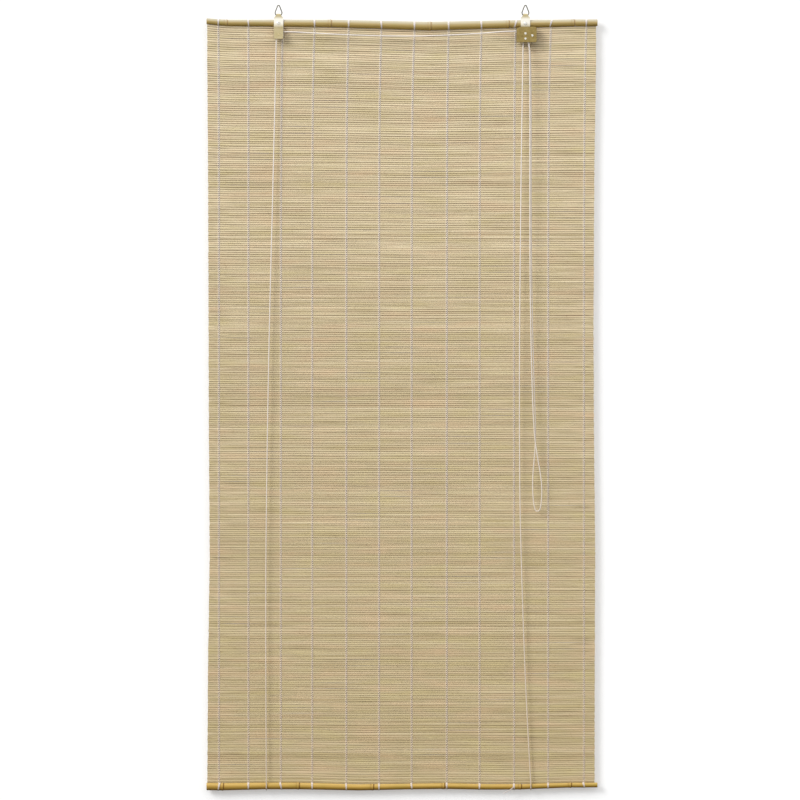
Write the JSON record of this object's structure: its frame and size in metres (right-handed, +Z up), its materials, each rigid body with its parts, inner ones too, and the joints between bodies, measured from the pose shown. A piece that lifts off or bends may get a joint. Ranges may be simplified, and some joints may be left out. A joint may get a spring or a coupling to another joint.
{
  "type": "bamboo roll-up blind",
  "caption": "Window blind of split bamboo slats bound with thread between two bamboo canes, hung from wire rings and raised by a cord through a pulley and a cord lock.",
  "frame": {"origin": "midway between the two points where the wall hooks bear inside the rings", "axes": "+X to the right as seen from the room, +Y to the wall, +Z up"},
  "size_m": [0.8007, 0.0337, 1.6093],
  "materials": {
    "bamboo_cane": "satin",
    "bamboo_slats": "matte",
    "binding_thread": "matte",
    "ring_wire": "satin",
    "strap_metal": "satin",
    "lock_metal": "satin",
    "screw_metal": "polished",
    "pin_metal": "polished",
    "roller_metal": "satin",
    "cord": "matte"
  },
  "bodies": {
    "headrail": {"top_cane": "bamboo_cane", "slat_mat": "bamboo_slats", "binding_thread_01": "binding_thread", "binding_thread_02": "binding_thread", "binding_thread_03": "binding_thread", "binding_thread_04": "binding_thread", "binding_thread_05": "binding_thread", "binding_thread_06": "binding_thread", "binding_thread_07": "binding_thread", "binding_thread_08": "binding_thread", "binding_thread_09": "binding_thread", "binding_thread_10": "binding_thread", "binding_thread_11": "binding_thread", "binding_thread_12": "binding_thread", "top_lashings": "binding_thread", "left_hanger": "strap_metal", "right_hanger": "strap_metal", "lock_case": "lock_metal", "left_hanger_screw": "screw_metal", "right_hanger_screw": "screw_metal", "left_pulley_pin": "pin_metal", "upper_guide_pin": "pin_metal", "lower_guide_pin": "pin_metal", "cam_pin": "pin_metal", "left_lift_cord_front": "cord", "left_lift_cord_back": "cord", "right_lift_cord_front": "cord", "right_lift_cord_back": "cord", "cross_cord": "cord", "pull_cord": "cord"},
    "bottom_bar": {"bottom_cane": "bamboo_cane", "bottom_lashings": "binding_thread", "left_cord_turn": "cord", "right_cord_turn": "cord"},
    "left_ring": {"left_ring": "ring_wire"},
    "right_ring": {"right_ring": "ring_wire"},
    "left_pulley": {"left_pulley": "roller_metal"},
    "upper_guide_roller": {"upper_guide_roller": "roller_metal"},
    "lower_guide_roller": {"lower_guide_roller": "roller_metal"},
    "lock_cam": {"lock_cam": "roller_metal"}
  },
  "joints": [
    {"name": "lift", "type": "slide", "parent": "headrail", "child": "bottom_bar", "axis": [0, 0, 1], "range_m": [0, 1.449], "deforming": ["slat_mat", "binding_thread_01", "binding_thread_02", "binding_thread_03", "binding_thread_04", "binding_thread_05", "binding_thread_06", "binding_thread_07", "binding_thread_08", "binding_thread_09", "binding_thread_10", "binding_thread_11", "binding_thread_12", "left_lift_cord_front", "right_lift_cord_front", "left_lift_cord_back", "right_lift_cord_back"]},
    {"name": "left_ring_swing", "type": "hinge", "parent": "headrail", "child": "left_ring", "pos_m": [-0.2525, 0, -0.0184], "axis": [1, 0, 0], "range_deg": [-90, 90]},
    {"name": "right_ring_swing", "type": "hinge", "parent": "headrail", "child": "right_ring", "pos_m": [0.2525, 0, -0.0184], "axis": [1, 0, 0], "range_deg": [-90, 90]},
    {"name": "lock_cam_swing", "type": "hinge", "parent": "headrail", "child": "lock_cam", "pos_m": [0.2666, -0.00805, -0.0609], "axis": [0, 1, 0], "range_deg": [0, 60]},
    {"name": "left_pulley_spin", "type": "hinge", "parent": "headrail", "child": "left_pulley", "pos_m": [-0.2509, -0.00535, -0.0591], "axis": [0, 1, 0], "continuous": true},
    {"name": "upper_guide_roller_spin", "type": "hinge", "parent": "headrail", "child": "upper_guide_roller", "pos_m": [0.2525, -0.00805, -0.0566], "axis": [0, 1, 0], "continuous": true},
    {"name": "lower_guide_roller_spin", "type": "hinge", "parent": "headrail", "child": "lower_guide_roller", "pos_m": [0.2525, -0.00805, -0.0672], "axis": [0, 1, 0], "continuous": true}
  ],
  "couplings": [
    {"joint": "left_pulley_spin", "follows": "lift", "rad_per_m": 336.13},
    {"joint": "upper_guide_roller_spin", "follows": "lift", "rad_per_m": 430.11},
    {"joint": "lower_guide_roller_spin", "follows": "lift", "rad_per_m": 430.11}
  ]
}
